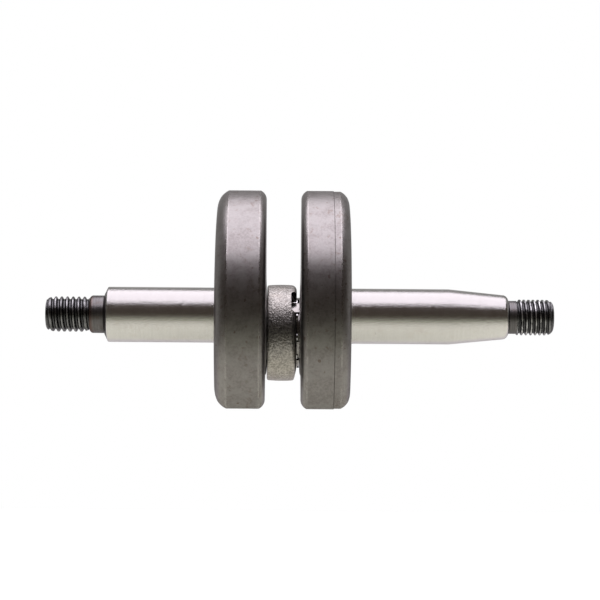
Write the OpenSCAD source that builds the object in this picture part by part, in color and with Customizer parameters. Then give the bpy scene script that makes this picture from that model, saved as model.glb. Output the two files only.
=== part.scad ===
// Built-up crankshaft of a small two-stroke engine: two forged half cranks, a pressed crank pin,
// a connecting rod on a caged needle bearing, and a drawn-cup needle bearing in the small end.
// Shaft axis along X, flywheel side towards +X, origin on the shaft axis midway between the webs.

/* [Crank webs] */
// Distance from the shaft axis to the crank pin axis, half the stroke
throw = 14; // [13:0.5:15]
// Radius of the counterweight rim
web_r = 27.7; // [27:0.1:29]
// Clear gap between the two webs
web_gap = 7.4; // [7.4:0.1:8.5]
// Thickness of the starter side web
starter_web_t = 10.55; // [9:0.05:12]
// Thickness of the flywheel side web
flywheel_web_t = 10.35; // [9:0.05:12]
// Half of the angle that the counterweight rim spans
rim_half_angle = 62.3; // [55:0.1:70]
// Radius of the web around the crank pin
boss_r = 10.6; // [9.5:0.1:11]
// Angle of the crank below the rod at rest
crank_tilt = 16.5; // [0:0.5:30]

/* [Shafts and threads] */
// Diameter of both main journals
journal_d = 12; // [11:0.5:14]
// Length of the starter side journal
starter_journal_l = 23.95; // [18:0.05:30]
// Length of the flywheel side journal
flywheel_journal_l = 21.9; // [18:0.1:30]
// Length of the 1:5 flywheel taper
taper_l = 11.9; // [8:0.1:13]
// Major diameter of the starter side thread
starter_thread_d = 7.8; // [7.8:0.05:8]
// Major diameter of the flywheel side thread
flywheel_thread_d = 7.8; // [7.8:0.05:8]
// Thread pitch at the starter end
starter_pitch = 1.25; // [1:0.25:1.25]
// Thread pitch at the flywheel end
flywheel_pitch = 1; // [0.75:0.25:1.25]

/* [Crank pin and big end bearing] */
// Diameter of the crank pin
pin_d = 12; // [11:0.5:12]
// Diameter of a big end roller
big_roller_d = 2; // [1.5:0.5:2]
// Number of big end rollers
big_roller_n = 10; // [9:1:12]
// Angle of the first big end roller from the rod's direction
big_roller_phase = 114.5; // [0:0.1:360]

/* [Connecting rod] */
// Distance between the rod's two bores
rod_l = 52; // [50:0.5:60]
// Outer radius of the big end
big_end_r = 10.8; // [10:0.1:11.5]
// Width of the big end
big_end_w = 6.6; // [6:0.1:7]
// Outer radius of the small end
small_end_r = 8; // [7.5:0.1:9]
// Width of the small end
small_end_w = 10; // [8:0.5:12]
// Sideways play of the rod, which rests towards the starter side
rod_shift = -0.3; // [-0.4:0.05:0.4]

/* [Small end bearing] */
// Diameter of the wrist pin that fits the bearing
wrist_pin_d = 8; // [7:0.5:8]
// Outer diameter of the drawn cup
cup_d = 12; // [11.5:0.5:12]
// Diameter of a small end roller
small_roller_d = 1.5; // [1:0.5:1.5]
// Number of small end rollers
small_roller_n = 10; // [8:1:12]

/* [Hidden] */
$fn = 96;
eps = 0.01;

// Colours
forged = [0.42, 0.41, 0.40];
ground = [0.75, 0.75, 0.73];
blasted = [0.62, 0.61, 0.57];
bearing_steel = [0.85, 0.85, 0.84];

// Webs: rounded edges are arcs that start at bevel_from and end at bevel_to degrees from the rim
gap_x = web_gap / 2;
bevel_from = 25;
bevel_to = 88;
starter_outer_bevel = 2.5;
flywheel_outer_bevel = 2;
inner_bevel = 1.25;
rim_step_x = 10.6;
rim_step_depth = 0.12;
shoulder_p = -2;
corner_r = 2;
neck_fillet_r = 6;
pin_recess = 0.4;

// Shafts
journal_r = journal_d / 2;
taper_ratio = 5;
taper_end_r = journal_r - taper_l / taper_ratio / 2;
taper_chamfer = 1.1;
relief_r = 3.6;
relief_l = 1.6;
flywheel_thread_l = 8.15;
pilot_r = 4.1;
pilot_l = 3.05;
pilot_shoulder = 0.75;
starter_thread_l = 9.5;
thread_depth_ratio = 0.58;
thread_flat_ratio = 0.2;
end_chamfer = 0.8;
centre_hole_r = 1;
centre_hole_l = 3.6;
centre_cone_r = 2.1;
centre_cone_l = 1.9;
keyway_w = 2.5;
keyway_cutter_r = 5;
keyway_depth = 2.4;

// Bearings: running_gap is the radial clearance on each side of a roller
running_gap = 0.01;
pin_r = pin_d / 2;
big_pitch_r = pin_r + big_roller_d / 2;
big_bore_r = pin_r + big_roller_d;
big_cage_w = web_gap - 0.2;
big_rim_w = 0.25;
big_roller_l = big_cage_w - 2 * big_rim_w - 0.1;
big_cage_play = 0.15;
big_rim_r = big_bore_r - 0.7;
wrist_r = wrist_pin_d / 2;
small_pitch_r = wrist_r + small_roller_d / 2;
race_r = wrist_r + small_roller_d;
cup_lip_t = 0.5;
cup_lip_r = wrist_r + 0.7;
small_cage_w = small_end_w - 2 * cup_lip_t - 0.3;
small_rim_w = 0.8;
small_roller_l = small_cage_w - 2 * small_rim_w - 0.1;
small_cage_play = 0.15;
bar_relief = 0.2;
pocket_play = 0.03;
roller_chamfer = 0.15;

// Connecting rod
shank_half_h = 5.2;
shank_w = 5.4;
shank_fillet_r = 9;
fillet_sink = 0.3;
pocket_half_h = 3;
pocket_d = 1.4;
pocket_from = 15.5;
pocket_to = 40;
bore_chamfer = 0.4;
oil_slot_angle = 136;
oil_slot_w = 6.2;
oil_slot_d = 1.25;
oil_slot_corner_r = 1.1;

function numbered(name, i) = str(name, "_", i < 10 ? "0" : "", i);
function at_angle(r, a) = [r * cos(a), r * sin(a)];

// Rounded edge from the rim to the web's face: [x, r] points that leave the face at x = 0
function edge_arc(x_len) = let (k = x_len / (sin(bevel_to) - sin(bevel_from)))
  [for (i = [0:6]) let (a = bevel_from + (bevel_to - bevel_from) * i / 6)
    [x_len - k * (sin(a) - sin(bevel_from)), k * (cos(bevel_from) - cos(a))]];

// Turns a profile of [x, r] points about the X axis
module turned(points) {
  rotate([90, 0, 90]) rotate_extrude() polygon([for (p = points) [p[1], p[0]]]);
}

// Places a flat outline, drawn with its own X along +Y and its own Y along +Z, from x0 to x1
module slab(x0, x1) {
  translate([x0, 0, 0]) rotate([90, 0, 90]) linear_extrude(x1 - x0) children();
}

module bar_x(r, x0, x1) {
  translate([x0, 0, 0]) rotate([0, 90, 0]) cylinder(r = r, h = x1 - x0);
}

// ---- Webs, drawn with the crank pin towards +Y ----

// One shoulder of the counterweight: s is 1 for the upper one and -1 for the lower one
module shoulder_trim(s) {
  rim_point = at_angle(web_r, 180 - rim_half_angle);
  neck_point = [shoulder_p, boss_r];
  along = (rim_point - neck_point) / norm(rim_point - neck_point);
  out = [along[1], -along[0]];
  reach = neck_point * out;
  corner = (reach - corner_r) * out + sqrt(pow(web_r - corner_r, 2) - pow(reach - corner_r, 2)) * along;
  tip = reach * out + sqrt(pow(web_r, 2) - pow(reach, 2)) * along;
  mirror([0, s < 0 ? 1 : 0]) difference() {
    polygon([corner, corner + (corner_r + 1) * out, 1.15 * tip, corner * 1.05 * web_r / (web_r - corner_r)]);
    translate(corner) circle(r = corner_r);
  }
}

module neck_fillet(s) {
  rim_point = at_angle(web_r, 180 - rim_half_angle);
  neck_point = [shoulder_p, boss_r];
  along = (rim_point - neck_point) / norm(rim_point - neck_point);
  half = acos(along[0]) / 2;
  tangent = neck_fillet_r / tan(half);
  bisector = (along + [1, 0]) / norm(along + [1, 0]);
  mirror([0, s < 0 ? 1 : 0]) difference() {
    polygon([neck_point - [0, 1], neck_point + [tangent, -1], neck_point + [tangent, 0],
      neck_point + neck_fillet_r / sin(half) * bisector, neck_point + tangent * along]);
    translate(neck_point + neck_fillet_r / sin(half) * bisector) circle(r = neck_fillet_r);
  }
}

module web_outline() {
  rim_point = at_angle(web_r, 180 - rim_half_angle);
  neck_point = [shoulder_p, boss_r];
  beyond = rim_point + 0.5 * (rim_point - neck_point);
  difference() {
    union() {
      intersection() {
        circle(r = web_r);
        polygon([neck_point, beyond, [-2 * web_r, beyond[1]], [-2 * web_r, -beyond[1]],
          [beyond[0], -beyond[1]], [neck_point[0], -neck_point[1]]]);
      }
      translate([shoulder_p - 3, -boss_r]) square([throw - shoulder_p + 3, 2 * boss_r]);
      translate([throw, 0]) circle(r = boss_r);
      neck_fillet(1);
      neck_fillet(-1);
    }
    shoulder_trim(1);
    shoulder_trim(-1);
  }
}

// Web between x = 0 and x = t, with its inner face at x = 0
module web(t, outer_bevel, step) {
  inner = edge_arc(inner_bevel);
  outer = edge_arc(outer_bevel);
  step_x = rim_step_x - gap_x;
  difference() {
    intersection() {
      slab(0, t) web_outline();
      turned(concat(
        [[0, 0]],
        [for (i = [6:-1:0]) [inner[i][0], web_r - inner[i][1]]],
        step ? [[step_x, web_r], [step_x, web_r - rim_step_depth]] : [],
        [for (i = [0:6]) [t - outer[i][0], web_r - outer[i][1] - (step && i == 0 ? rim_step_depth : 0)]],
        [[t, 0]]
      ));
    }
    translate([0, throw, 0]) bar_x(pin_r, -1, t + 1);
  }
}

// ---- Shafts, turned about the X axis ----

// Thread from x0 to x1 as a stack of V grooves: [x, r] points in order
function thread_profile(x0, x1, pitch, r) = let (n = floor((x1 - x0) / pitch),
    crest = thread_flat_ratio * pitch, root = r - thread_depth_ratio * pitch)
  [for (i = [0:n - 1]) let (x = x0 + i * pitch)
    for (p = [[x + crest / 2, r], [x + pitch / 2 - crest / 4, root],
      [x + pitch / 2 + crest / 4, root], [x + pitch - crest / 2, r]]) p];

// Centre drilling at a shaft end: the mouth is at x = 0 and the hole runs towards +X
module centre_drilling() {
  turned([[-1, 0], [-1, centre_cone_r + 0.6], [0, centre_cone_r], [centre_cone_l, centre_hole_r],
    [centre_hole_l, centre_hole_r], [centre_hole_l + centre_hole_r / 2, 0]]);
}

module flywheel_shaft() {
  x_taper = gap_x + flywheel_web_t + flywheel_journal_l;
  x_relief = x_taper + taper_l + taper_chamfer;
  x_thread = x_relief + relief_l;
  x_end = x_thread + flywheel_thread_l;
  thread_r = flywheel_thread_d / 2;
  difference() {
    turned(concat(
      [[gap_x + 1, 0], [gap_x + 1, journal_r], [x_taper, journal_r], [x_taper + taper_l, taper_end_r],
        [x_relief - 0.5, taper_end_r - 0.4], [x_relief, relief_r], [x_thread, relief_r],
        [x_thread + 0.3, thread_r]],
      thread_profile(x_thread + 0.3, x_end - end_chamfer, flywheel_pitch, thread_r),
      [[x_end - end_chamfer, thread_r], [x_end, thread_r - end_chamfer], [x_end, 0]]
    ));
    translate([x_end, 0, 0]) mirror([1, 0, 0]) centre_drilling();
    flywheel_keyway(x_taper + taper_l / 2);
  }
}

// Woodruff keyway in the taper, on the crank pin's side
module flywheel_keyway(x_mid) {
  surface_r = (journal_r + taper_end_r) / 2;
  translate([x_mid, surface_r - keyway_depth + keyway_cutter_r, -keyway_w / 2])
    cylinder(r = keyway_cutter_r, h = keyway_w);
}

module starter_shaft() {
  x_shoulder = gap_x + starter_web_t + starter_journal_l;
  x_pilot = x_shoulder + pilot_shoulder;
  x_thread = x_pilot + pilot_l;
  x_end = x_thread + starter_thread_l;
  thread_r = starter_thread_d / 2;
  mirror([1, 0, 0]) difference() {
    turned(concat(
      [[gap_x + 1, 0], [gap_x + 1, journal_r], [x_shoulder, journal_r], [x_pilot - 0.15, pilot_r + 0.5],
        [x_pilot, pilot_r], [x_thread, pilot_r], [x_thread + 0.3, thread_r - 0.35],
        [x_thread + 0.95, thread_r - 0.35], [x_thread + 1.15, thread_r]],
      thread_profile(x_thread + 1.15, x_end - end_chamfer, starter_pitch, thread_r),
      [[x_end - end_chamfer, thread_r], [x_end, thread_r - end_chamfer], [x_end, 0]]
    ));
    translate([x_end, 0, 0]) mirror([1, 0, 0]) centre_drilling();
  }
}

module tilted() {
  rotate([-crank_tilt, 0, 0]) children();
}

module starter_side_half() {
  color(forged) tilted() union() {
    translate([-gap_x, 0, 0]) mirror([1, 0, 0]) web(starter_web_t, starter_outer_bevel, false);
    starter_shaft();
  }
}

module flywheel_side_half() {
  color(forged) tilted() union() {
    translate([gap_x, 0, 0]) web(flywheel_web_t, flywheel_outer_bevel, true);
    flywheel_shaft();
  }
}

module crank_pin() {
  x0 = -gap_x - starter_web_t + pin_recess;
  x1 = gap_x + flywheel_web_t - pin_recess;
  c = 0.4;
  color(ground) tilted() translate([0, throw, 0])
    turned([[x0, 0], [x0, pin_r - c], [x0 + c, pin_r], [x1 - c, pin_r], [x1, pin_r - c], [x1, 0]]);
}

// ---- Connecting rod and its bearings, drawn with the rod along +Y from the crank pin ----

module on_pin() {
  translate([0, throw * cos(crank_tilt), -throw * sin(crank_tilt)]) children();
}

module on_wrist() {
  on_pin() translate([rod_shift, rod_l, 0]) children();
}

// Fillet between the shank's upper edge and the end at the outline's origin, sunk a little into it
module shank_fillet(outer_r) {
  end_r = outer_r - fillet_sink;
  y_centre = sqrt(pow(end_r + shank_fillet_r, 2) - pow(shank_half_h + shank_fillet_r, 2));
  centre = [y_centre, shank_half_h + shank_fillet_r];
  difference() {
    polygon([[0, 0], centre * end_r / (end_r + shank_fillet_r), centre, [y_centre, 0]]);
    translate(centre) circle(r = shank_fillet_r);
  }
}

module shank_outline() {
  translate([big_end_r - 2, -shank_half_h])
    square([rod_l - big_end_r - small_end_r + 4, 2 * shank_half_h]);
  for (s = [0, 1]) mirror([0, s]) {
    shank_fillet(big_end_r);
    translate([rod_l, 0]) mirror([1, 0]) shank_fillet(small_end_r);
  }
}

module shank_pocket() {
  for (y = [pocket_from, pocket_to]) translate([y, 0]) circle(r = pocket_half_h);
  translate([pocket_from, -pocket_half_h]) square([pocket_to - pocket_from, 2 * pocket_half_h]);
}

// Slot milled through the big end's wall into its flywheel side face
module oil_slot() {
  half = oil_slot_w / 2;
  rotate([oil_slot_angle, 0, 0]) translate([big_end_w / 2, (big_bore_r + big_end_r) / 2, 0])
    rotate([-90, 0, 0]) {
      for (s = [-1, 1]) translate([-oil_slot_d + oil_slot_corner_r, s * (half - oil_slot_corner_r), -3])
        cylinder(r = oil_slot_corner_r, h = 6);
      translate([-oil_slot_d, oil_slot_corner_r - half, -3])
        cube([oil_slot_d + 1, oil_slot_w - 2 * oil_slot_corner_r, 6]);
      translate([oil_slot_corner_r - oil_slot_d, -half, -3])
        cube([oil_slot_d - oil_slot_corner_r + 1, oil_slot_w, 6]);
    }
}

module connecting_rod() {
  color(blasted) on_pin() translate([rod_shift, 0, 0]) difference() {
    union() {
      bar_x(big_end_r, -big_end_w / 2, big_end_w / 2);
      translate([0, rod_l, 0]) bar_x(small_end_r, -small_end_w / 2, small_end_w / 2);
      slab(-shank_w / 2, shank_w / 2) shank_outline();
    }
    bar_x(big_bore_r, -big_end_w, big_end_w);
    translate([0, rod_l, 0]) bar_x(cup_d / 2, -small_end_w, small_end_w);
    for (s = [0, 1]) mirror([s, 0, 0]) {
      slab(shank_w / 2 - pocket_d, shank_w / 2 + 1) shank_pocket();
      translate([big_end_w / 2, 0, 0])
        turned([[-bore_chamfer, 0], [-bore_chamfer, big_bore_r], [eps, big_bore_r + bore_chamfer + eps], [eps, 0]]);
    }
    oil_slot();
    rotate([180, 0, 0]) oil_slot();
  }
}

// Roller with broken edges, along X
module roller(d, l) {
  r = d / 2 - running_gap;
  c = roller_chamfer;
  turned([[-l / 2, 0], [-l / 2, r - c], [-l / 2 + c, r], [l / 2 - c, r], [l / 2, r - c], [l / 2, 0]]);
}

// Places a child on roller i's centre, counted round the bearing from the phase angle
module at_roller(i, n, pitch_r, phase) {
  rotate([phase + i * 360 / n, 0, 0]) translate([0, pitch_r, 0]) children();
}

// Big end cage: bars as wide as the cage stand above the two end rims
module big_end_cage() {
  pocket_w = big_roller_d + 2 * pocket_play;
  pocket_l = big_roller_l + 0.1;
  color(bearing_steel) on_pin() difference() {
    bar_x(big_bore_r - big_cage_play, -big_cage_w / 2, big_cage_w / 2);
    bar_x(pin_r + big_cage_play, -big_cage_w, big_cage_w);
    for (i = [0:big_roller_n - 1]) at_roller(i, big_roller_n, 0, big_roller_phase) {
      translate([-pocket_l / 2, pin_r - 1, -pocket_w / 2]) cube([pocket_l, big_roller_d + 2, pocket_w]);
      translate([-big_cage_w, big_rim_r, -pocket_w / 2]) cube([2 * big_cage_w, big_roller_d, pocket_w]);
    }
  }
}

module big_end_roller(i) {
  color(bearing_steel) on_pin() at_roller(i - 1, big_roller_n, big_pitch_r, big_roller_phase)
    roller(big_roller_d, big_roller_l);
}

// Drawn cup with a lip at each end, pressed into the small end
module small_end_cup() {
  x = small_end_w / 2;
  color(ground) on_wrist() difference() {
    bar_x(cup_d / 2, -x, x);
    bar_x(race_r, cup_lip_t - x, x - cup_lip_t);
    bar_x(cup_lip_r, -2 * x, 2 * x);
  }
}

// Small end cage: the end rims guide the wrist pin, and the bars between them stand clear of it
module small_end_cage() {
  pocket_w = small_roller_d + 2 * pocket_play;
  pocket_l = small_roller_l + 0.1;
  color(bearing_steel) on_wrist() difference() {
    bar_x(race_r - small_cage_play, -small_cage_w / 2, small_cage_w / 2);
    bar_x(wrist_r + small_cage_play, -small_cage_w, small_cage_w);
    bar_x(wrist_r + small_cage_play + bar_relief, bar_relief - pocket_l / 2, pocket_l / 2 - bar_relief);
    for (i = [0:small_roller_n - 1]) at_roller(i, small_roller_n, 0, 0)
      translate([-pocket_l / 2, wrist_r - 1, -pocket_w / 2])
        cube([pocket_l, small_roller_d + 2, pocket_w]);
  }
}

module small_end_roller(i) {
  color(bearing_steel) on_wrist() at_roller(i - 1, small_roller_n, small_pitch_r, 0)
    roller(small_roller_d, small_roller_l);
}

starter_side_half();
flywheel_side_half();
crank_pin();
connecting_rod();
big_end_cage();
for (i = [1:big_roller_n])
  big_end_roller(i);
small_end_cup();
small_end_cage();
for (i = [1:small_roller_n])
  small_end_roller(i);
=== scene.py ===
import math

import bmesh
import bpy
from mathutils import Matrix, Vector


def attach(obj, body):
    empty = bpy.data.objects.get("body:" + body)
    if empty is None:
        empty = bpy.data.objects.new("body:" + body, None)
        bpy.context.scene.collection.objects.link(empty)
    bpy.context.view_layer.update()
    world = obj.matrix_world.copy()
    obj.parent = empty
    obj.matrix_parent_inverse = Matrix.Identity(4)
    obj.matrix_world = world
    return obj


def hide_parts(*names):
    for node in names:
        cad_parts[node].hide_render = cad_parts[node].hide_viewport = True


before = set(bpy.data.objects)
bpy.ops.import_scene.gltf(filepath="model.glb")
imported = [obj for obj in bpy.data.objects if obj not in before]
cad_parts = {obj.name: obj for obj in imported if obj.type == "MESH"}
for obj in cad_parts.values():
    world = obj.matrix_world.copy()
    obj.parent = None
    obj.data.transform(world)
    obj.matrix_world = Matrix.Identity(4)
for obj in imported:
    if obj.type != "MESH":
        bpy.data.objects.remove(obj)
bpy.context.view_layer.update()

# Meshes are drawn in millimetres and scaled to metres when they are finished. The floor, the light
# and the camera are placed in metres.
MM = 0.001
# Points on a full circle
ROUND = 96
# Points closer than this are merged
MERGE = 0.0004

# Sizes shared with the CAD model. GAP is half of the clear gap between the webs.
GAP = 3.7
WEB_R = 27.7
THROW = 14.0
TILT = math.radians(-16.5)
PIN_R = 6.0
JOURNAL_R = 6.0
ROOT_FILLET = 0.5
PIN_CENTRE = Vector((0.0, THROW * math.cos(TILT), THROW * math.sin(TILT)))
ROD_CENTRE = PIN_CENTRE + Vector((-0.3, 0.0, 0.0))

# Web outline, with the crank pin towards +p
RIM_HALF_ANGLE = math.radians(62.3)
NECK = Vector((-2.0, 10.6))
BOSS_R = 10.6
CORNER_R = 2.0
NECK_FILLET_R = 6.0
BEVEL_FROM = math.radians(25)
BEVEL_TO = math.radians(88)


# ---- Mesh helpers ----


def loop_of(bm, points):
    return [bm.verts.new(p) for p in points]


def skin(bm, a, b, slot):
    """Quads between two closed loops of equal length."""
    count = len(a)
    for i in range(count):
        j = (i + 1) % count
        face = bm.faces.new((a[i], a[j], b[j], b[i]))
        face.material_index = slot
        face.smooth = True


def fan(bm, ring, tip, slot):
    """Triangles from a closed loop to one point."""
    point = bm.verts.new(tip)
    count = len(ring)
    for i in range(count):
        face = bm.faces.new((ring[i], ring[(i + 1) % count], point))
        face.material_index = slot
        face.smooth = True


def loop_edges(bm, ring):
    count = len(ring)
    found = []
    for i in range(count):
        pair = (ring[i], ring[(i + 1) % count])
        found.append(bm.edges.get(pair) or bm.edges.new(pair))
    return found


def fill(bm, rings, slot):
    """A flat face bounded by closed loops, the inner ones being holes."""
    edges = [e for ring in rings for e in loop_edges(bm, ring)]
    made = bmesh.ops.triangle_fill(bm, use_beauty=True, use_dissolve=False, edges=edges)
    for item in made["geom"]:
        if isinstance(item, bmesh.types.BMFace):
            item.material_index = slot


def circle_x(x, r, centre=(0.0, 0.0)):
    """Points of a circle round an axis along X."""
    cy, cz = centre
    turns = [2 * math.pi * i / ROUND for i in range(ROUND)]
    return [(x, cy + r * math.cos(t), cz + r * math.sin(t)) for t in turns]


def arc(centre, r, start, end, steps):
    """Points of a plane arc, both ends included."""
    angles = [start + (end - start) * i / steps for i in range(steps + 1)]
    return [centre + r * Vector((math.cos(a), math.sin(a))) for a in angles]


def finish_mesh(bm, name, materials, turn=None):
    """Makes an object in metres from a mesh in millimetres."""
    bmesh.ops.remove_doubles(bm, verts=bm.verts, dist=MERGE)
    bmesh.ops.dissolve_degenerate(bm, edges=bm.edges, dist=MERGE)
    bmesh.ops.recalc_face_normals(bm, faces=bm.faces)
    if turn is not None:
        bm.transform(turn)
    bm.transform(Matrix.Scale(MM, 4))
    mesh = bpy.data.meshes.new(name)
    bm.to_mesh(mesh)
    bm.free()
    mesh.set_sharp_from_angle(angle=math.radians(24.0))
    obj = bpy.data.objects.new(name, mesh)
    bpy.context.scene.collection.objects.link(obj)
    for material in materials:
        mesh.materials.append(material)
    return obj


def apply_modifiers(obj):
    """Replaces an object's mesh by what its modifiers make of it."""
    graph = bpy.context.evaluated_depsgraph_get()
    mesh = bpy.data.meshes.new_from_object(obj.evaluated_get(graph))
    old = obj.data
    obj.modifiers.clear()
    obj.data = mesh
    bpy.data.meshes.remove(old)


def cut(obj, cutter):
    """Takes one closed mesh out of another."""
    mod = obj.modifiers.new("cut", "BOOLEAN")
    mod.operation = "DIFFERENCE"
    mod.solver = "EXACT"
    mod.object = cutter
    apply_modifiers(obj)
    bpy.data.objects.remove(cutter)


# ---- Materials ----

# How much of a metal's brightening at grazing angles is left, set by the photo's tones
EDGE_TINT = 0.6
# Painted shade: a ground shaft's colour is darker where it looks up, so the overhead light's highlight on
# it is dimmer.
# How much of its brightness a ground shaft keeps on its upper side, set by the photo's tones
UPPER_SIDE_SHADE = 0.43
# Where the starter side neck is rusty, by X: it fades in, then out again before the shaft's end
RUST_BAND = (-44.0, -43.0, -41.9, -40.9)


class Shader:
    """A Principled material with short calls for the nodes that feed it."""

    def __init__(self, name):
        self.material = bpy.data.materials.new(name)
        self.material.use_nodes = True
        self.tree = self.material.node_tree
        self.principled = self.tree.nodes["Principled BSDF"]

    def node(self, kind, **settings):
        made = self.tree.nodes.new(kind)
        for key, value in settings.items():
            setattr(made, key, value)
        return made

    def link(self, source, target):
        self.tree.links.new(source, target)

    def place(self, stretch=(1.0, 1.0, 1.0)):
        """Object coordinates in millimetres, stretched."""
        coords = self.node("ShaderNodeTexCoord")
        scale = self.node("ShaderNodeVectorMath", operation="MULTIPLY")
        scale.inputs[1].default_value = [s / MM for s in stretch]
        self.link(coords.outputs["Object"], scale.inputs[0])
        return scale.outputs[0]

    def noise(self, where, scale, detail=3.0, roughness=0.55, distortion=0.0):
        made = self.node("ShaderNodeTexNoise")
        made.inputs["Scale"].default_value = scale
        made.inputs["Detail"].default_value = detail
        made.inputs["Roughness"].default_value = roughness
        made.inputs["Distortion"].default_value = distortion
        self.link(where, made.inputs["Vector"])
        return made.outputs["Fac"]

    def cells(self, where, scale):
        made = self.node("ShaderNodeTexVoronoi")
        made.inputs["Scale"].default_value = scale
        self.link(where, made.inputs["Vector"])
        return made.outputs["Distance"]

    def remap(self, value, low, high, to_low=0.0, to_high=1.0, smooth=True):
        made = self.node("ShaderNodeMapRange")
        made.interpolation_type = "SMOOTHSTEP" if smooth else "LINEAR"
        made.inputs["From Min"].default_value = low
        made.inputs["From Max"].default_value = high
        made.inputs["To Min"].default_value = to_low
        made.inputs["To Max"].default_value = to_high
        self.link(value, made.inputs["Value"])
        return made.outputs["Result"]

    def math(self, operation, a, b):
        made = self.node("ShaderNodeMath", operation=operation)
        for socket, value in zip(made.inputs, (a, b)):
            if isinstance(value, (int, float)):
                socket.default_value = value
            else:
                self.link(value, socket)
        return made.outputs[0]

    def mix(self, factor, a, b):
        made = self.node("ShaderNodeMix", data_type="RGBA")
        self.link(factor, made.inputs[0])
        for socket, value in ((made.inputs[6], a), (made.inputs[7], b)):
            if isinstance(value, tuple):
                socket.default_value = (*value, 1.0)
            else:
                self.link(value, socket)
        return made.outputs[2]

    def attribute(self, name):
        made = self.node("ShaderNodeAttribute", attribute_name=name)
        return made.outputs["Fac"]

    def facing_z(self):
        """How far a surface looks up, from the object's own normals."""
        coords = self.node("ShaderNodeTexCoord")
        parts = self.node("ShaderNodeSeparateXYZ")
        self.link(coords.outputs["Normal"], parts.inputs[0])
        return parts.outputs["Z"]

    def upper_side(self):
        """Mask of the painted shade: 0.9 where a surface looks up at a slant, 0 below the middle, and
        0.27 on the very top.
        """
        facing = self.facing_z()
        above = self.remap(facing, 0.30, 0.50, 0.0, 0.9)
        below_top = self.remap(facing, 0.90, 0.99, 1.0, 0.3)
        return self.math("MULTIPLY", above, below_top)

    def bump(self, height, distance, strength, before=None):
        made = self.node("ShaderNodeBump")
        made.inputs["Strength"].default_value = strength
        made.inputs["Distance"].default_value = distance * MM
        self.link(height, made.inputs["Height"])
        if before is not None:
            self.link(before, made.inputs["Normal"])
        return made.outputs["Normal"]

    def metal(self, colour, roughness, normal):
        shader = self.principled
        shader.inputs["Metallic"].default_value = 1.0
        shader.inputs["Specular Tint"].default_value = (EDGE_TINT, EDGE_TINT, EDGE_TINT, 1.0)
        self.link(colour, shader.inputs["Base Color"])
        self.link(roughness, shader.inputs["Roughness"])
        self.link(normal, shader.inputs["Normal"])
        return self.material


def forged_steel():
    """Dark satin steel: cloudy scale, small pits, rust stains, bright worn edges that are partly a
    painted highlight, and a dark seam.

    The mesh's wear_and_sheen value is 1 on a worn edge and -1 in the seam.
    """
    s = Shader("forged_steel")
    here = s.place()
    cloud = s.noise(here, 0.33, 4.0, 0.6, 0.4)
    grain = s.noise(here, 2.0, 3.0, 0.65)
    fine = s.noise(here, 7.0, 2.0, 0.6)
    pits = s.cells(here, 0.42)
    drift = s.noise(here, 0.9, 2.0, 0.5)
    base = s.mix(s.remap(cloud, 0.38, 0.62), (0.138, 0.129, 0.124), (0.172, 0.166, 0.160))
    base = s.mix(s.remap(grain, 0.35, 0.65, 0.0, 0.6), base, (0.196, 0.184, 0.180))
    pit_size = s.remap(drift, 0.4, 0.75, 0.0, 0.26, smooth=False)
    pit = s.math("LESS_THAN", pits, pit_size)
    base = s.mix(s.math("MULTIPLY", pit, 0.6), base, (0.085, 0.060, 0.047))
    rust = s.noise(here, 0.55, 4.0, 0.7, 1.0)
    base = s.mix(s.remap(rust, 0.57, 0.70, 0.0, 0.55), base, (0.098, 0.072, 0.058))
    # Worn edges: lighter colour, partly wear and partly a painted highlight of light caught on the
    # rounded edges.
    worn_sheen = s.attribute("wear_and_sheen")
    worn_sheen = s.math("MULTIPLY", worn_sheen, s.remap(drift, 0.35, 0.65, 0.15, 0.9))
    base = s.mix(worn_sheen, base, (0.215, 0.205, 0.198))
    seam = s.remap(s.attribute("wear_and_sheen"), 0.0, -1.0, 0.0, 0.38)
    base = s.mix(seam, base, (0.035, 0.030, 0.028))
    rough = s.remap(cloud, 0.3, 0.7, 0.325, 0.355, smooth=False)
    rough = s.math("SUBTRACT", rough, s.math("MULTIPLY", worn_sheen, 0.12))
    normal = s.bump(fine, 0.015, 0.5)
    normal = s.bump(grain, 0.022, 0.45, normal)
    return s.metal(base, rough, normal)


def faced_steel():
    """The webs' flat faces, with fine turned rings about the shaft axis."""
    s = Shader("faced_steel")
    here = s.place((0.0, 1.0, 1.0))
    wide = s.place()
    radius = s.node("ShaderNodeVectorMath", operation="LENGTH")
    s.link(here, radius.inputs[0])
    rings = s.node("ShaderNodeTexNoise", noise_dimensions="1D")
    rings.inputs["Scale"].default_value = 5.5
    rings.inputs["Detail"].default_value = 2.0
    s.link(radius.outputs["Value"], rings.inputs["W"])
    cloud = s.noise(wide, 0.3, 4.0, 0.6)
    base = s.mix(s.remap(rings.outputs["Fac"], 0.3, 0.7), (0.22, 0.21, 0.20), (0.30, 0.29, 0.28))
    base = s.mix(s.remap(cloud, 0.45, 0.75, 0.0, 0.5), base, (0.21, 0.19, 0.18))
    rough = s.remap(cloud, 0.3, 0.7, 0.28, 0.38, smooth=False)
    normal = s.bump(rings.outputs["Fac"], 0.012, 0.8)
    return s.metal(base, rough, normal)


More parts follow.
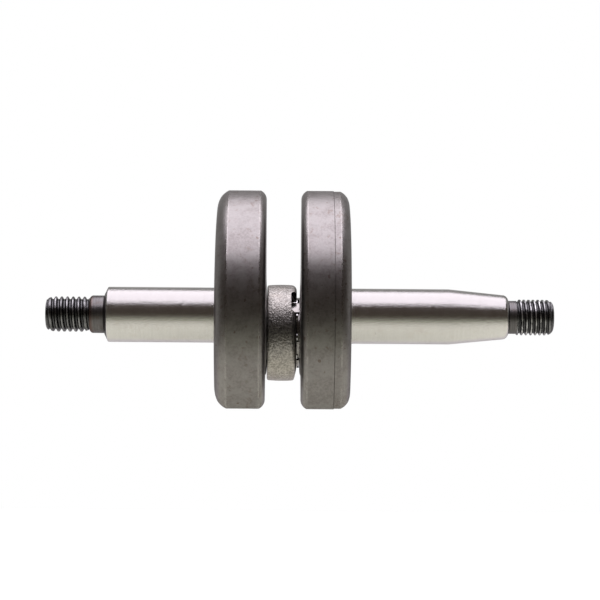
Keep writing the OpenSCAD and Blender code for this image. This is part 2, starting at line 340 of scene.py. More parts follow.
def ground_steel(name="ground_steel", colour=(0.49, 0.48, 0.465), roughness=0.17):
    """Bright ground steel: grinding marks round the shaft, fine specks and painted shade on its upper
    side.
    """
    s = Shader(name)
    marks_at = s.place((5.0, 0.16, 0.16))
    here = s.place()
    marks = s.noise(marks_at, 1.0, 3.0, 0.65)
    cloud = s.noise(here, 0.45, 3.0, 0.6)
    grain = s.noise(here, 2.6, 3.0, 0.65)
    darker = tuple(c * 0.91 for c in colour)
    speck = tuple(c * 0.78 for c in colour)
    base = s.mix(s.remap(marks, 0.3, 0.7), darker, colour)
    base = s.mix(s.remap(grain, 0.45, 0.75, 0.0, 0.45), base, speck)
    dots = s.noise(here, 4.5, 2.0, 0.6)
    base = s.mix(s.remap(dots, 0.52, 0.68, 0.0, 0.55), base, speck)
    base = s.mix(s.remap(cloud, 0.5, 0.8, 0.0, 0.35), base, (0.40, 0.37, 0.34))
    # Painted shade: darker colour on the upper side, where the overhead light falls.
    painted_upper_shade = tuple(c * UPPER_SIDE_SHADE for c in colour)
    base = s.mix(s.upper_side(), base, painted_upper_shade)
    rough = s.remap(marks, 0.3, 0.7, roughness - 0.03, roughness + 0.07, smooth=False)
    rough = s.math("ADD", rough, s.remap(cloud, 0.4, 0.7, 0.0, 0.04))
    normal = s.bump(marks, 0.004, 0.6)
    normal = s.bump(grain, 0.060, 0.7, normal)
    normal = s.bump(dots, 0.016, 0.6, normal)
    return s.metal(base, rough, normal)


def thread_steel():
    """Blackened thread: bright only where the crests have rubbed."""
    s = Shader("thread_steel")
    here = s.place()
    along = s.place((1.0, 0.5, 0.5))
    patch = s.noise(along, 1.3, 3.0, 0.6)
    fine = s.noise(here, 6.0, 2.0, 0.6)
    base = s.mix(s.remap(fine, 0.35, 0.65), (0.036, 0.036, 0.038), (0.070, 0.070, 0.071))
    crest = s.attribute("wear_and_sheen")
    rubbed = s.math("MULTIPLY", crest, s.remap(patch, 0.38, 0.62, 0.16, 0.94))
    base = s.mix(rubbed, base, (0.44, 0.44, 0.445))
    rough = s.remap(patch, 0.3, 0.7, 0.24, 0.36, smooth=False)
    normal = s.bump(fine, 0.008, 0.5)
    return s.metal(base, rough, normal)


def neck_steel():
    """Dull dark steel of the necks and shaft ends, rusty where the starter side thread begins."""
    s = Shader("neck_steel")
    here = s.place()
    marks_at = s.place((6.0, 0.15, 0.15))
    marks = s.noise(marks_at, 1.0, 3.0, 0.6)
    cloud = s.noise(here, 0.8, 3.0, 0.6)
    base = s.mix(s.remap(marks, 0.3, 0.7), (0.070, 0.067, 0.067), (0.115, 0.110, 0.110))
    base = s.mix(s.remap(cloud, 0.5, 0.75, 0.0, 0.5), base, (0.075, 0.058, 0.050))
    along = s.node("ShaderNodeSeparateXYZ")
    s.link(here, along.inputs[0])
    end_low, end_high, neck_low, neck_high = RUST_BAND
    rusty = s.remap(along.outputs["X"], neck_high, neck_low, 0.0, 0.8)
    rusty = s.math("MULTIPLY", rusty, s.remap(along.outputs["X"], end_low, end_high))
    base = s.mix(rusty, base, (0.070, 0.042, 0.034))
    rough = s.remap(cloud, 0.3, 0.7, 0.30, 0.40, smooth=False)
    normal = s.bump(marks, 0.006, 0.6)
    return s.metal(base, rough, normal)


def blasted_steel():
    """Shot-blasted forging: dimpled and mottled all over, with painted light on its underside."""
    s = Shader("blasted_steel")
    here = s.place()
    dimples = s.cells(here, 2.2)
    lumps = s.noise(here, 2.4, 3.0, 0.65, 0.3)
    cloud = s.noise(here, 0.5, 3.0, 0.6)
    base = s.mix(s.remap(lumps, 0.32, 0.68), (0.135, 0.128, 0.120), (0.280, 0.270, 0.252))
    base = s.mix(s.remap(cloud, 0.45, 0.7, 0.0, 0.35), base, (0.23, 0.21, 0.185))
    # Painted light: down-facing surfaces get a lighter colour, standing in for light from the table
    # below.
    under = s.remap(s.facing_z(), -0.15, -0.85, 0.0, 0.75)
    light = s.mix(s.remap(lumps, 0.35, 0.65), (0.215, 0.198, 0.178), (0.400, 0.375, 0.335))
    base = s.mix(under, base, light)
    rough = s.remap(lumps, 0.3, 0.7, 0.44, 0.32, smooth=False)
    normal = s.bump(dimples, 0.070, 0.8)
    normal = s.bump(lumps, 0.110, 0.9, normal)
    return s.metal(base, rough, normal)


def bored_steel():
    """Darker, smoother steel of the rod's bores and milled oil slots."""
    s = Shader("bored_steel")
    here = s.place()
    marks = s.noise(s.place((8.0, 0.3, 0.3)), 1.0, 2.0, 0.6)
    cloud = s.noise(here, 1.2, 3.0, 0.6)
    base = s.mix(s.remap(cloud, 0.35, 0.65), (0.13, 0.125, 0.12), (0.22, 0.215, 0.21))
    rough = s.remap(marks, 0.3, 0.7, 0.22, 0.34, smooth=False)
    normal = s.bump(marks, 0.004, 0.5)
    return s.metal(base, rough, normal)


def sheet_steel(name, colour, low, high):
    """Satin or polished bearing steel with faint rubbing marks."""
    s = Shader(name)
    here = s.place()
    cloud = s.noise(here, 1.4, 3.0, 0.6)
    fine = s.noise(here, 9.0, 2.0, 0.6)
    darker = tuple(c * 0.78 for c in colour)
    base = s.mix(s.remap(cloud, 0.35, 0.65), darker, colour)
    rough = s.remap(fine, 0.3, 0.7, low, high, smooth=False)
    normal = s.bump(fine, 0.003, 0.5)
    return s.metal(base, rough, normal)


def floor_paint():
    """Matte pale table, painted darker towards its front edge as shade, neutral behind and very slightly
    uneven.
    """
    s = Shader("floor_paint")
    here = s.place()
    across = s.node("ShaderNodeSeparateXYZ")
    s.link(here, across.inputs[0])
    cloud = s.noise(s.place((0.01, 0.01, 0.01)), 1.0, 2.0, 0.5)
    # Painted shade: the table is drawn darker towards its front edge, standing in for less light there.
    back = s.remap(across.outputs["Y"], -130.0, 5.0)
    base = s.mix(back, (0.62, 0.64, 0.54), (0.88, 0.915, 0.77))
    far = s.remap(across.outputs["Y"], 25.0, 80.0)
    base = s.mix(far, base, (0.81, 0.81, 0.79))
    base = s.mix(s.remap(cloud, 0.3, 0.7, 0.0, 0.03), base, (0.80, 0.80, 0.78))
    s.link(base, s.principled.inputs["Base Color"])
    s.principled.inputs["Roughness"].default_value = 0.9
    return s.material


FORGED = forged_steel()
FACED = faced_steel()
GROUND = ground_steel()
THREAD = thread_steel()
NECK_STEEL = neck_steel()
BLASTED = blasted_steel()
BORED = bored_steel()
PIN_STEEL = ground_steel("pin_steel", (0.52, 0.51, 0.50), 0.12)
CAGE_STEEL = sheet_steel("cage_steel", (0.235, 0.225, 0.215), 0.18, 0.28)
CUP_STEEL = sheet_steel("cup_steel", (0.46, 0.45, 0.43), 0.22, 0.32)
ROLLER_STEEL = sheet_steel("roller_steel", (0.52, 0.515, 0.51), 0.08, 0.14)

HALF_MATERIALS = [FORGED, FACED, GROUND, THREAD, NECK_STEEL]
FORGED_SLOT, FACED_SLOT, GROUND_SLOT, THREAD_SLOT, NECK_SLOT = range(5)


# ---- Half cranks ----


def web_outline(inset):
    """Closed outline of the web as [p, q] points, pulled in by inset, with p towards the crank pin.

    Every inset gives the same number of points, so outlines can be skinned.
    """
    rim_r = WEB_R - inset
    boss_r = BOSS_R - inset
    corner_r = max(CORNER_R - inset, 0.4)
    rim_point = WEB_R * Vector((-math.cos(RIM_HALF_ANGLE), math.sin(RIM_HALF_ANGLE)))
    along = (rim_point - NECK).normalized()
    out = Vector((along.y, -along.x))
    reach = NECK.dot(out) - inset
    side = math.sqrt((rim_r - corner_r) ** 2 - (reach - corner_r) ** 2)
    corner = (reach - corner_r) * out + side * along
    rim_end = math.atan2(corner.y, corner.x)
    corner_end = math.atan2(out.y, out.x)

    half = math.acos(along.x) / 2
    knee = out * reach + along * ((boss_r - out.y * reach) / along.y)
    fillet_r = NECK_FILLET_R + inset
    run = fillet_r / math.tan(half)
    bisector = (along + Vector((1.0, 0.0))).normalized()
    fillet = knee + fillet_r / math.sin(half) * bisector
    from_shoulder = math.atan2(-out.y, -out.x) + 2 * math.pi
    to_boss = 1.5 * math.pi

    upper = arc(Vector((0.0, 0.0)), rim_r, math.pi, rim_end, 44)
    upper += arc(corner, corner_r, rim_end, corner_end, 9)[1:]
    start, end = upper[-1], knee + run * along
    upper += [start.lerp(end, i / 9) for i in range(1, 10)]
    upper += arc(fillet, fillet_r, from_shoulder, to_boss, 9)[1:]
    start, end = upper[-1], Vector((THROW, boss_r))
    upper += [start.lerp(end, i / 7) for i in range(1, 8)]
    upper += arc(Vector((THROW, 0.0)), boss_r, math.pi / 2, 0.0, 26)[1:]
    lower = [Vector((p.x, -p.y)) for p in upper[-2:0:-1]]
    return upper + lower


def bevel(length, steps=10):
    """[distance from the face, inset] from the web's flat face out to the rim."""
    scale = length / (math.sin(BEVEL_TO) - math.sin(BEVEL_FROM))
    made = []
    for i in range(steps + 1):
        a = BEVEL_TO + (BEVEL_FROM - BEVEL_TO) * i / steps
        back = length - scale * (math.sin(a) - math.sin(BEVEL_FROM))
        made.append((back, scale * (math.cos(BEVEL_FROM) - math.cos(a))))
    return made


def web_stations(thickness, outer_bevel, step_at=None):
    """[x from the inner face, inset, wear and painted highlight] rows across the web, with a seam groove
    at step_at.
    """
    # Rows at the rims' edges carry wear and painted highlight; the seam groove's rows carry -1.
    worn_sheen = 0.16
    groove_depth = 0.12
    rows = []
    inner = bevel(1.25)
    for x, inset in inner:
        rows.append((x, inset, 0.0))
    rows[-1] = (*rows[-1][:2], 1.0)
    edge = inner[-1][0]
    rows.append((edge + worn_sheen, 0.0, 0.9))
    rows.append((edge + 1.6 * worn_sheen, 0.0, 0.0))
    late = 0.0
    if step_at is not None:
        late = groove_depth
        rows += [(step_at - 0.26, 0.0, 0.0), (step_at - 0.18, 0.0, 0.6), (step_at - 0.10, 0.0, -1.0)]
        rows += [(step_at, 0.0, -1.0), (step_at + 0.05, late, -1.0), (step_at + 0.14, late, 0.3)]
        rows.append((step_at + 0.3, late, 0.0))
    outer = [(thickness - x, inset) for x, inset in reversed(bevel(outer_bevel))]
    edge = outer[0][0]
    rows.append((edge - 1.6 * worn_sheen, late, 0.0))
    rows.append((edge - worn_sheen, late, 0.9))
    for x, inset in outer:
        rows.append((x, inset + late, 1.0 if x == edge else 0.0))
    return rows


def build_web(bm, wear_and_sheen, side, thickness, outer_bevel, step_at=None):
    """The web with its crank pin bore, open at the journal's root. Returns the root loop."""
    rings = []
    for x, inset, worn_sheen in web_stations(thickness, outer_bevel, step_at):
        place = side * (GAP + x)
        ring = loop_of(bm, [(place, p.x, p.y) for p in web_outline(inset)])
        for v in ring:
            v[wear_and_sheen] = worn_sheen
        if rings:
            skin(bm, rings[-1], ring, FORGED_SLOT)
        rings.append(ring)

    inner_x = side * GAP
    outer_x = side * (GAP + thickness)
    mouth = 0.3
    pin = (THROW, 0.0)
    bore = [
        loop_of(bm, circle_x(inner_x, PIN_R + mouth, pin)),
        loop_of(bm, circle_x(inner_x + side * mouth, PIN_R, pin)),
        loop_of(bm, circle_x(outer_x - side * mouth, PIN_R, pin)),
        loop_of(bm, circle_x(outer_x, PIN_R + mouth, pin)),
    ]
    for a, b in zip(bore, bore[1:]):
        skin(bm, a, b, FACED_SLOT)
    root = loop_of(bm, circle_x(outer_x, JOURNAL_R + ROOT_FILLET))
    fill(bm, [rings[0], bore[0]], FACED_SLOT)
    fill(bm, [rings[-1], bore[-1], root], FACED_SLOT)
    return root


def lathe(bm, first, side, rows):
    """Skins rings from an existing loop through [x, r, slot] rows, x outward from the middle."""
    last = first
    for x, r, slot in rows:
        ring = loop_of(bm, circle_x(side * x, r))
        skin(bm, last, ring, slot)
        last = ring
    return last


def rounded(x0, r0, x1, r1, steps, start_deg, end_deg, slot):
    """Rows of an arc stretched between two points, from one tangent angle to the other."""
    a0, a1 = math.radians(start_deg), math.radians(end_deg)
    span_x = math.sin(a1) - math.sin(a0)
    span_r = math.cos(a0) - math.cos(a1)
    rows = []
    for i in range(1, steps + 1):
        a = a0 + (a1 - a0) * i / steps
        x = x0 + (x1 - x0) * (math.sin(a) - math.sin(a0)) / span_x
        r = r0 + (r1 - r0) * (math.cos(a0) - math.cos(a)) / span_r
        rows.append((x, r, slot))
    return rows


def thread(bm, wear_and_sheen, x0, x1, pitch, crest_r, envelope, shine):
    """A right-hand thread between x0 and x1, where x0 is the lower.

    envelope(x) caps the radius, so both ends meet plain circles. The crests get shine as their wear.
    """
    depth = 0.46 * pitch
    flat = 0.20 * pitch
    groove = 0.20 * pitch
    profile = [
        (0.0, crest_r, shine),
        (flat, crest_r, shine),
        (flat + 0.10 * pitch, crest_r - 0.13 * pitch, 0.3 * shine),
        ((pitch + flat - groove) / 2, crest_r - depth, 0.0),
        ((pitch + flat + groove) / 2, crest_r - depth, 0.0),
        (pitch - 0.10 * pitch, crest_r - 0.13 * pitch, 0.3 * shine),
    ]
    first = math.floor(x0 / pitch) - 2
    last = math.ceil(x1 / pitch) + 1
    columns = [2 * math.pi * i / ROUND for i in range(ROUND + 1)]
    rows = []
    for turn in range(first, last + 1):
        for offset, r, worn_sheen in profile:
            row = []
            for angle in columns:
                x = turn * pitch + offset + pitch * angle / (2 * math.pi)
                held = min(max(x, x0), x1)
                cap = envelope(held)
                radius = min(r, cap)
                v = bm.verts.new((held, radius * math.cos(angle), radius * math.sin(angle)))
                v[wear_and_sheen] = worn_sheen if r <= cap + 0.02 else 0.3
                row.append(v)
            rows.append(row)
    for a, b in zip(rows, rows[1:]):
        for i in range(ROUND):
            spread = {round(v.co.x, 5) for v in (a[i], a[i + 1], b[i], b[i + 1])}
            if spread == {round(x0, 5)} or spread == {round(x1, 5)}:
                continue
            face = bm.faces.new((a[i], a[i + 1], b[i + 1], b[i]))
            face.material_index = THREAD_SLOT
            face.smooth = True


def rounded_end(crest_r, drop, length, left):
    """Radius at a distance left from the shaft's end, whose edge is a quarter of an ellipse."""
    short = 1.0 - min(left / length, 1.0)
    return crest_r - drop + drop * math.sqrt(max(0.0, 1.0 - short**2))


def shaft_end(bm, side, ring, x_end):
    """The end face with its centre drilling: a cone, a pilot hole and the hole's pointed bottom."""
    mouth_r, cone_r, pilot_r = 2.25, 2.1, 1.0
    edge, cone_depth, pilot_depth, point_depth = 0.15, 1.9, 3.6, 4.1
    rows = [
        (x_end, mouth_r, NECK_SLOT),
        (x_end - edge, cone_r, NECK_SLOT),
        (x_end - cone_depth, pilot_r, NECK_SLOT),
        (x_end - pilot_depth, pilot_r, NECK_SLOT),
    ]
    last = lathe(bm, ring, side, rows)
    fan(bm, last, (side * (x_end - point_depth), 0.0, 0.0), NECK_SLOT)


def root_fillet(face):
    """Rows of the fillet between a web's outer face and its journal."""
    return rounded(face, JOURNAL_R + ROOT_FILLET, face + ROOT_FILLET, JOURNAL_R, 5, 90, 0, GROUND_SLOT)


def starter_half():
    """Starter side half crank: web, journal, plain neck and coarse thread."""
    bm = bmesh.new()
    wear_and_sheen = bm.verts.layers.float.new("wear_and_sheen")
    side = -1
    thickness = 10.55
    face = GAP + thickness
    root = build_web(bm, wear_and_sheen, side, thickness, 2.5)
    shoulder = 38.2
    neck_r = 4.1
    x_thread0, x_thread1 = 42.0, 51.5
    run_out, run_out_depth = 1.2, 0.38
    root_r, crest_r = 3.7, 3.84
    rows = root_fillet(face)
    rows += [(shoulder - 0.32, JOURNAL_R, GROUND_SLOT)]
    rows += rounded(shoulder - 0.32, JOURNAL_R, shoulder, 5.7, 6, 0, 78, GROUND_SLOT)
    rows += [
        (shoulder + 0.58, 4.5, NECK_SLOT),
        (shoulder + 0.65, 4.24, NECK_SLOT),
        (shoulder + 0.75, neck_r, NECK_SLOT),
        (x_thread0 - 0.55, neck_r, NECK_SLOT),
        (x_thread0 - 0.30, neck_r - 0.1, NECK_SLOT),
        (x_thread0, root_r, NECK_SLOT),
    ]
    lathe(bm, root, side, rows)

    def envelope(x):
        to_neck = x + x_thread0
        to_end = x + x_thread1
        if to_neck > -0.02:
            return root_r
        if to_neck > -run_out:
            fade = max(0.0, to_neck + run_out) / run_out
            return crest_r - run_out_depth + run_out_depth * (1 - fade) ** 2
        return rounded_end(crest_r, 0.85, 2.4, to_end)

    thread(bm, wear_and_sheen, -x_thread1, -x_thread0, 1.25, crest_r, envelope, 0.45)
    tip = loop_of(bm, circle_x(-x_thread1, envelope(-x_thread1)))
    shaft_end(bm, side, tip, x_thread1)
    return finish_mesh(bm, "starter_half_crank", HALF_MATERIALS, turn=Matrix.Rotation(TILT, 4, "X"))


def keyway_tool(x, surface_r):
    """Woodruff cutter that sinks into the taper on the crank pin's side."""
    cutter_r, depth, half_width, points = 5.0, 2.4, 1.25, 72
    y = surface_r - depth + cutter_r
    turns = [2 * math.pi * i / points for i in range(points)]
    bm = bmesh.new()
    rings = []
    for z in (-half_width, half_width):
        ring = [(x + cutter_r * math.cos(t), y + cutter_r * math.sin(t), z) for t in turns]
        rings.append(loop_of(bm, ring))
    skin(bm, rings[0], rings[1], NECK_SLOT)
    fill(bm, [rings[0]], NECK_SLOT)
    fill(bm, [rings[1]], NECK_SLOT)
    return finish_mesh(bm, "keyway_tool", HALF_MATERIALS)


def flywheel_half():
    """Flywheel side half crank: web, journal, taper with its keyway, relief and fine thread."""
    bm = bmesh.new()
    wear_and_sheen = bm.verts.layers.float.new("wear_and_sheen")
    side = 1
    thickness = 10.35
    face = GAP + thickness
    seam_x = 10.6
    root = build_web(bm, wear_and_sheen, side, thickness, 2.0, step_at=seam_x - GAP)
    taper_from, taper_to = 35.95, 47.85
    taper_r = JOURNAL_R - (taper_to - taper_from) / 10
    x_thread0, x_thread1 = 50.55, 58.7
    run_in = 0.35
    relief_r = 3.6
    start_r = relief_r - 0.02
    crest_r = 3.9
    rows = root_fillet(face)
    rows += [
        (taper_from, JOURNAL_R, GROUND_SLOT),
        (taper_to, taper_r, GROUND_SLOT),
    ]
    rows += rounded(taper_to, taper_r, taper_to + 1.02, taper_r - 1.0, 9, 6, 76, GROUND_SLOT)
    rows += [
        (taper_to + 1.08, relief_r + 0.12, NECK_SLOT),
        (taper_to + 1.2, relief_r, NECK_SLOT),
        (x_thread0 - 0.1, relief_r, NECK_SLOT),
        (x_thread0, start_r, NECK_SLOT),
    ]
    lathe(bm, root, side, rows)

    def envelope(x):
        start = x - x_thread0
        end = x_thread1 - x
        if start < run_in:
            return start_r + (crest_r - start_r) * start / run_in
        return rounded_end(crest_r, 1.3, 1.8, end)

    thread(bm, wear_and_sheen, x_thread0, x_thread1, 1.0, crest_r, envelope, 1.0)
    tip = loop_of(bm, circle_x(x_thread1, envelope(x_thread1)))
    shaft_end(bm, side, tip, x_thread1)
    obj = finish_mesh(bm, "flywheel_half_crank", HALF_MATERIALS)

    middle_r = (JOURNAL_R + taper_r) / 2
    cut(obj, keyway_tool((taper_from + taper_to) / 2, middle_r))
    obj.data.transform(Matrix.Rotation(TILT, 4, "X"))
    return obj


# ---- Connecting rod ----

ROD_L = 52.0
BIG_R = 10.8
BIG_HALF_W = 3.3
BIG_BORE_R = 8.0
# A little under the CAD model's 8, so that the remeshed small end stays inside its box
SMALL_R = 7.99
SMALL_HALF_W = 5.0
SMALL_BORE_R = 6.0
SHANK_HALF_H = 5.2
SHANK_HALF_W = 2.7
SHANK_FILLET_R = 9.0
RECESS_DEPTH = 1.4
SLOT_ANGLES = (136, 316)
ROD_MATERIALS = [BLASTED, BORED]
BLASTED_SLOT, BORED_SLOT = range(2)


def shank_outline():
    """Closed outline of the shank in the rod's plane: y along the rod, z up."""
    big_y = math.sqrt((BIG_R + SHANK_FILLET_R) ** 2 - (SHANK_HALF_H + SHANK_FILLET_R) ** 2)
    small_y = math.sqrt((SMALL_R + SHANK_FILLET_R) ** 2 - (SHANK_HALF_H + SHANK_FILLET_R) ** 2)
    height = SHANK_HALF_H + SHANK_FILLET_R
    big_centre = Vector((big_y, height))
    small_centre = Vector((ROD_L - small_y, height))
    big_start = math.atan2(-height, -big_y) + 2 * math.pi
    small_end = math.atan2(-height, small_y) + 2 * math.pi
    upper = [Vector((2.0, 0.0)), Vector((2.0, 4.0))]
    upper += arc(big_centre, SHANK_FILLET_R, big_start, 1.5 * math.pi, 16)
    upper += arc(small_centre, SHANK_FILLET_R, 1.5 * math.pi, small_end, 16)
    upper += [Vector((ROD_L - 2.0, 3.0)), Vector((ROD_L - 2.0, 0.0))]
    lower = [Vector((p.x, -p.y)) for p in upper[-2:0:-1]]
    return upper + lower


def recess_outline(grow):
    """Outline of the recess that gives the shank its H section, widened by grow."""
    start = Vector((15.5, 0.0))
    end = Vector((40.0, 0.0))
    half_h = 3.0 + grow
    made = arc(end, half_h, -math.pi / 2, math.pi / 2, 14)
    made += arc(start, half_h, math.pi / 2, 1.5 * math.pi, 14)
    return made


def shank(bm):
    """The shank, with a tapered recess in both sides."""
    draft = 0.25
    outline = shank_outline()
    edge = [loop_of(bm, [(s * SHANK_HALF_W, p.x, p.y) for p in outline]) for s in (-1, 1)]
    skin(bm, edge[0], edge[1], BLASTED_SLOT)
    for s, ring in zip((-1, 1), edge):
        top = loop_of(bm, [(s * SHANK_HALF_W, p.x, p.y) for p in recess_outline(draft)])
        low_x = s * (SHANK_HALF_W - RECESS_DEPTH)
        low = loop_of(bm, [(low_x, p.x, p.y) for p in recess_outline(-draft)])
        fill(bm, [ring, top], BLASTED_SLOT)
        skin(bm, top, low, BLASTED_SLOT)
        fill(bm, [low], BLASTED_SLOT)


def drum(bm, rows, centre, slot):
    """A closed solid of revolution about X through [x, r] rows."""
    rings = [loop_of(bm, circle_x(x, r, centre)) for x, r in rows]
    for a, b in zip(rings, rings[1:]):
        skin(bm, a, b, slot)
    fill(bm, [rings[0]], slot)
    fill(bm, [rings[-1]], slot)


def slot_tool(angle_deg):
    """U-shaped milling cutter for an oil slot in the big end's flywheel side face."""
    half, depth, corner = 3.1, 1.25, 1.1
    floor = BIG_HALF_W - depth
    section = [Vector((BIG_HALF_W + 1, half)), Vector((floor + corner, half))]
    section += arc(Vector((floor + corner, half - corner)), corner, math.pi / 2, math.pi, 8)[1:]
    section += arc(Vector((floor + corner, corner - half)), corner, math.pi, 1.5 * math.pi, 8)
    section += [Vector((BIG_HALF_W + 1, -half))]
    bm = bmesh.new()
    inner_r, outer_r = 5.5, 14.0
    ends = [loop_of(bm, [(p.x, reach, p.y) for p in section]) for reach in (inner_r, outer_r)]
    skin(bm, ends[0], ends[1], BORED_SLOT)
    fill(bm, [ends[0]], BORED_SLOT)
    fill(bm, [ends[1]], BORED_SLOT)
    turn = Matrix.Rotation(math.radians(angle_deg), 4, "X")
    return finish_mesh(bm, "slot_tool", ROD_MATERIALS, turn=turn)


def bore_tool(radius, half_w, chamfer, centre):
    """Cutter for a through bore with a chamfer at both mouths."""
    bm = bmesh.new()
    rows = [
        (-half_w - 1, radius + chamfer + 1),
        (-half_w + chamfer, radius),
        (half_w - chamfer, radius),
        (half_w + 1, radius + chamfer + 1),
    ]
    drum(bm, rows, centre, BORED_SLOT)
    return finish_mesh(bm, "bore_tool", ROD_MATERIALS)


def rise(value, start, length):
    """0 up to start, then a straight rise to 1 over length."""
    return min(max((value - start) / length, 0.0), 1.0)


def draw_in(x, y, z):
    """X of a point after the forging's flywheel side draws in towards the big end's lower edge."""
    most_drawn = 0.65
    below = math.degrees(math.atan2(-z, -y))
    turn = rise(below, 45, 45)
    fade = 1.0 - rise(below, 110, 40)
    out = rise(math.hypot(y, z), 8.3, 2.3)
    return min(x, BIG_HALF_W - most_drawn * turn * fade * out)


def big_end_limit(x):
    """The big end's radius at x: a slightly crowned rim, with the flywheel side's edge rounded most."""
    crown = 0.16
    corner, corner_from = (1.1, 2.2) if x > 0 else (0.4, 2.9)
    edge = max(abs(x) - corner_from, 0.0)
    return BIG_R - crown * (x / BIG_HALF_W) ** 2 - corner + math.sqrt(max(corner**2 - edge**2, 0.0))


def connecting_rod():
    """The rod: remeshed and softened like a forging, then bored and slotted with sharp edges."""
    bm = bmesh.new()
    shank(bm)
    drum(bm, [(-BIG_HALF_W, BIG_R), (BIG_HALF_W, BIG_R)], (0.0, 0.0), BLASTED_SLOT)
    drum(bm, [(-SMALL_HALF_W, SMALL_R), (SMALL_HALF_W, SMALL_R)], (ROD_L, 0.0), BLASTED_SLOT)
    obj = finish_mesh(bm, "forged_rod", ROD_MATERIALS)
    skin_over = obj.modifiers.new("skin", "REMESH")
    skin_over.mode = "VOXEL"
    skin_over.voxel_size = 0.24 * MM
    soften = obj.modifiers.new("soften", "SMOOTH")
    soften.factor = 0.5
    soften.iterations = 7
    apply_modifiers(obj)

    # From here towards the small end the rim runs into the shank, and isn't trimmed
    root_y = BIG_R * 0.4
    for v in obj.data.vertices:
        x, y, z = v.co / MM
        r = math.hypot(y, z)
        if x > 0 and r < BIG_R + 1:
            v.co.x = draw_in(x, y, z) * MM
        most = big_end_limit(x)
        if r > most and y < root_y:
            v.co.y = y * most / r * MM
            v.co.z = z * most / r * MM

    cut(obj, bore_tool(BIG_BORE_R, BIG_HALF_W, 0.4, (0.0, 0.0)))
    cut(obj, bore_tool(SMALL_BORE_R, SMALL_HALF_W, 0.35, (ROD_L, 0.0)))
    for angle in SLOT_ANGLES:
        cut(obj, slot_tool(angle))
    obj.data.shade_smooth()
    obj.data.set_sharp_from_angle(angle=math.radians(35))
    obj.data.transform(Matrix.Translation(ROD_CENTRE * MM))
    return obj


starter = starter_half()
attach(starter, "crank")
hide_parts("starter_side_half")

flywheel = flywheel_half()
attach(flywheel, "crank")
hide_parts("flywheel_side_half")

rod = connecting_rod()
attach(rod, "rod")
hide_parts("connecting_rod")


def dress(node, material):
    """Gives a CAD node a finished material and keeps its own shape."""
    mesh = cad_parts[node].data
    mesh.materials.clear()
    mesh.materials.append(material)


dress("crank_pin", PIN_STEEL)
dress("big_end_cage", CAGE_STEEL)
dress("small_end_cage", CAGE_STEEL)
dress("small_end_cup", CUP_STEEL)
for node_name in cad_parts:
    if "_roller_" in node_name:
        dress(node_name, ROLLER_STEEL)


# ---- Floor, light and camera ----

FLOOR_Z = -0.070


def floor():
    """A small plain table under the object."""
    near, far, wide = -0.13, 0.24, 0.25
    bm = bmesh.new()
    corners = [(-wide, near, FLOOR_Z), (wide, near, FLOOR_Z), (wide, far, FLOOR_Z), (-wide, far, FLOOR_Z)]
    bm.faces.new([bm.verts.new(c) for c in corners])
    mesh = bpy.data.meshes.new("floor")
    bm.to_mesh(mesh)
    bm.free()
    mesh.materials.append(floor_paint())
    obj = bpy.data.objects.new("floor", mesh)
    bpy.context.scene.collection.objects.link(obj)


def softbox(name, place, aim, size, radiance, colour):
    """A rectangular soft light of a given brightness per area."""
    light = bpy.data.lights.new(name, "AREA")
    light.shape = "RECTANGLE"
    light.size, light.size_y = size
    light.energy = radiance * math.pi * size[0] * size[1]
    light.color = colour
    obj = bpy.data.objects.new(name, light)
    bpy.context.scene.collection.objects.link(obj)
    obj.location = place
    obj.rotation_euler = (Vector(aim) - Vector(place)).to_track_quat("-Z", "Y").to_euler()


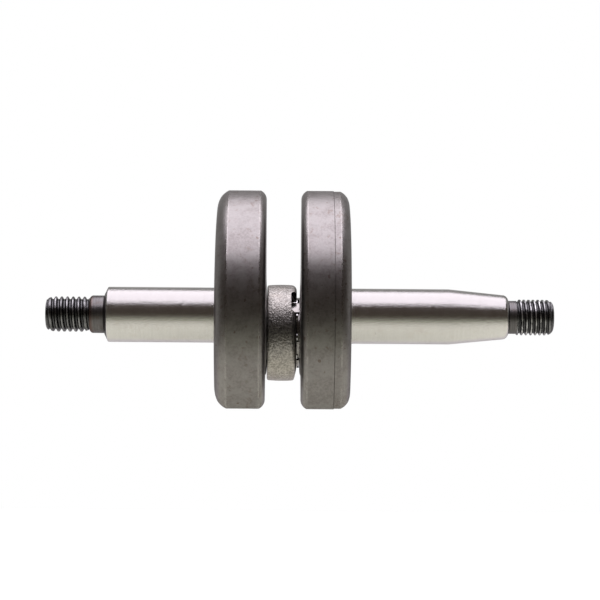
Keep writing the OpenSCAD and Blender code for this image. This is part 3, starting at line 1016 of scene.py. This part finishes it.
def surroundings():
    """A soft room, white where the camera sees it.

    What the object reflects is dim in front of it, and lighter low down and behind it.
    """
    front_tone = (0.086, 0.069, 0.056, 1.0)
    back_tone = (0.78, 0.765, 0.76, 1.0)
    low_tone = (0.86, 0.875, 0.72, 1.0)
    world = bpy.data.worlds.new("studio")
    bpy.context.scene.world = world
    world.use_nodes = True
    tree = world.node_tree
    tree.nodes.clear()
    coords = tree.nodes.new("ShaderNodeTexCoord")
    split = tree.nodes.new("ShaderNodeSeparateXYZ")
    ramp = tree.nodes.new("ShaderNodeMapRange")
    ramp.interpolation_type = "SMOOTHSTEP"
    ramp.inputs["From Min"].default_value = -0.25
    ramp.inputs["From Max"].default_value = 0.60
    tones = tree.nodes.new("ShaderNodeMix")
    tones.data_type = "RGBA"
    tones.inputs[6].default_value = front_tone
    tones.inputs[7].default_value = back_tone
    lower = tree.nodes.new("ShaderNodeMapRange")
    lower.interpolation_type = "SMOOTHSTEP"
    lower.inputs["From Min"].default_value = 0.02
    lower.inputs["From Max"].default_value = -0.60
    front = tree.nodes.new("ShaderNodeMapRange")
    front.inputs["From Min"].default_value = 0.35
    front.inputs["From Max"].default_value = -0.25
    share = tree.nodes.new("ShaderNodeMath")
    share.operation = "MULTIPLY"
    low_tones = tree.nodes.new("ShaderNodeMix")
    low_tones.data_type = "RGBA"
    low_tones.inputs[7].default_value = low_tone
    dim = tree.nodes.new("ShaderNodeBackground")
    white = tree.nodes.new("ShaderNodeBackground")
    white.inputs["Color"].default_value = (1.0, 1.0, 1.0, 1.0)
    seen = tree.nodes.new("ShaderNodeLightPath")
    either = tree.nodes.new("ShaderNodeMixShader")
    output = tree.nodes.new("ShaderNodeOutputWorld")
    tree.links.new(coords.outputs["Generated"], split.inputs[0])
    tree.links.new(split.outputs["Y"], ramp.inputs["Value"])
    tree.links.new(ramp.outputs["Result"], tones.inputs[0])
    tree.links.new(split.outputs["Z"], lower.inputs["Value"])
    tree.links.new(split.outputs["Y"], front.inputs["Value"])
    tree.links.new(lower.outputs["Result"], share.inputs[0])
    tree.links.new(front.outputs["Result"], share.inputs[1])
    tree.links.new(share.outputs[0], low_tones.inputs[0])
    tree.links.new(tones.outputs[2], low_tones.inputs[6])
    tree.links.new(low_tones.outputs[2], dim.inputs["Color"])
    tree.links.new(seen.outputs["Is Camera Ray"], either.inputs[0])
    tree.links.new(dim.outputs[0], either.inputs[1])
    tree.links.new(white.outputs[0], either.inputs[2])
    tree.links.new(either.outputs[0], output.inputs["Surface"])


def camera():
    """Looks along +Y at the object's counterweight side, rolled slightly."""
    lens, sensor = 111.4, 36.0
    roll = math.radians(0.44)
    place = Vector((0.0, -0.4046, 0.00341))
    data = bpy.data.cameras.new("camera")
    data.lens = lens
    data.sensor_width = sensor
    data.shift_x = 0.0278
    data.clip_start = 0.01
    data.clip_end = 20.0
    obj = bpy.data.objects.new("camera", data)
    bpy.context.scene.collection.objects.link(obj)
    right = Vector((math.cos(roll), 0.0, math.sin(roll)))
    up = Vector((-math.sin(roll), 0.0, math.cos(roll)))
    back = Vector((0.0, -1.0, 0.0))
    turn = Matrix((right, up, back)).transposed().to_4x4()
    obj.matrix_world = Matrix.Translation(place) @ turn
    bpy.context.scene.camera = obj


floor()
softbox(
    "overhead",
    place=(0.0, -0.020, 0.45),
    aim=(0.0, -0.020, 0.0),
    size=(0.72, 0.64),
    radiance=4.1,
    colour=(0.955, 0.90, 0.99),
)
surroundings()
camera()
bpy.context.scene.view_settings.view_transform = "Standard"
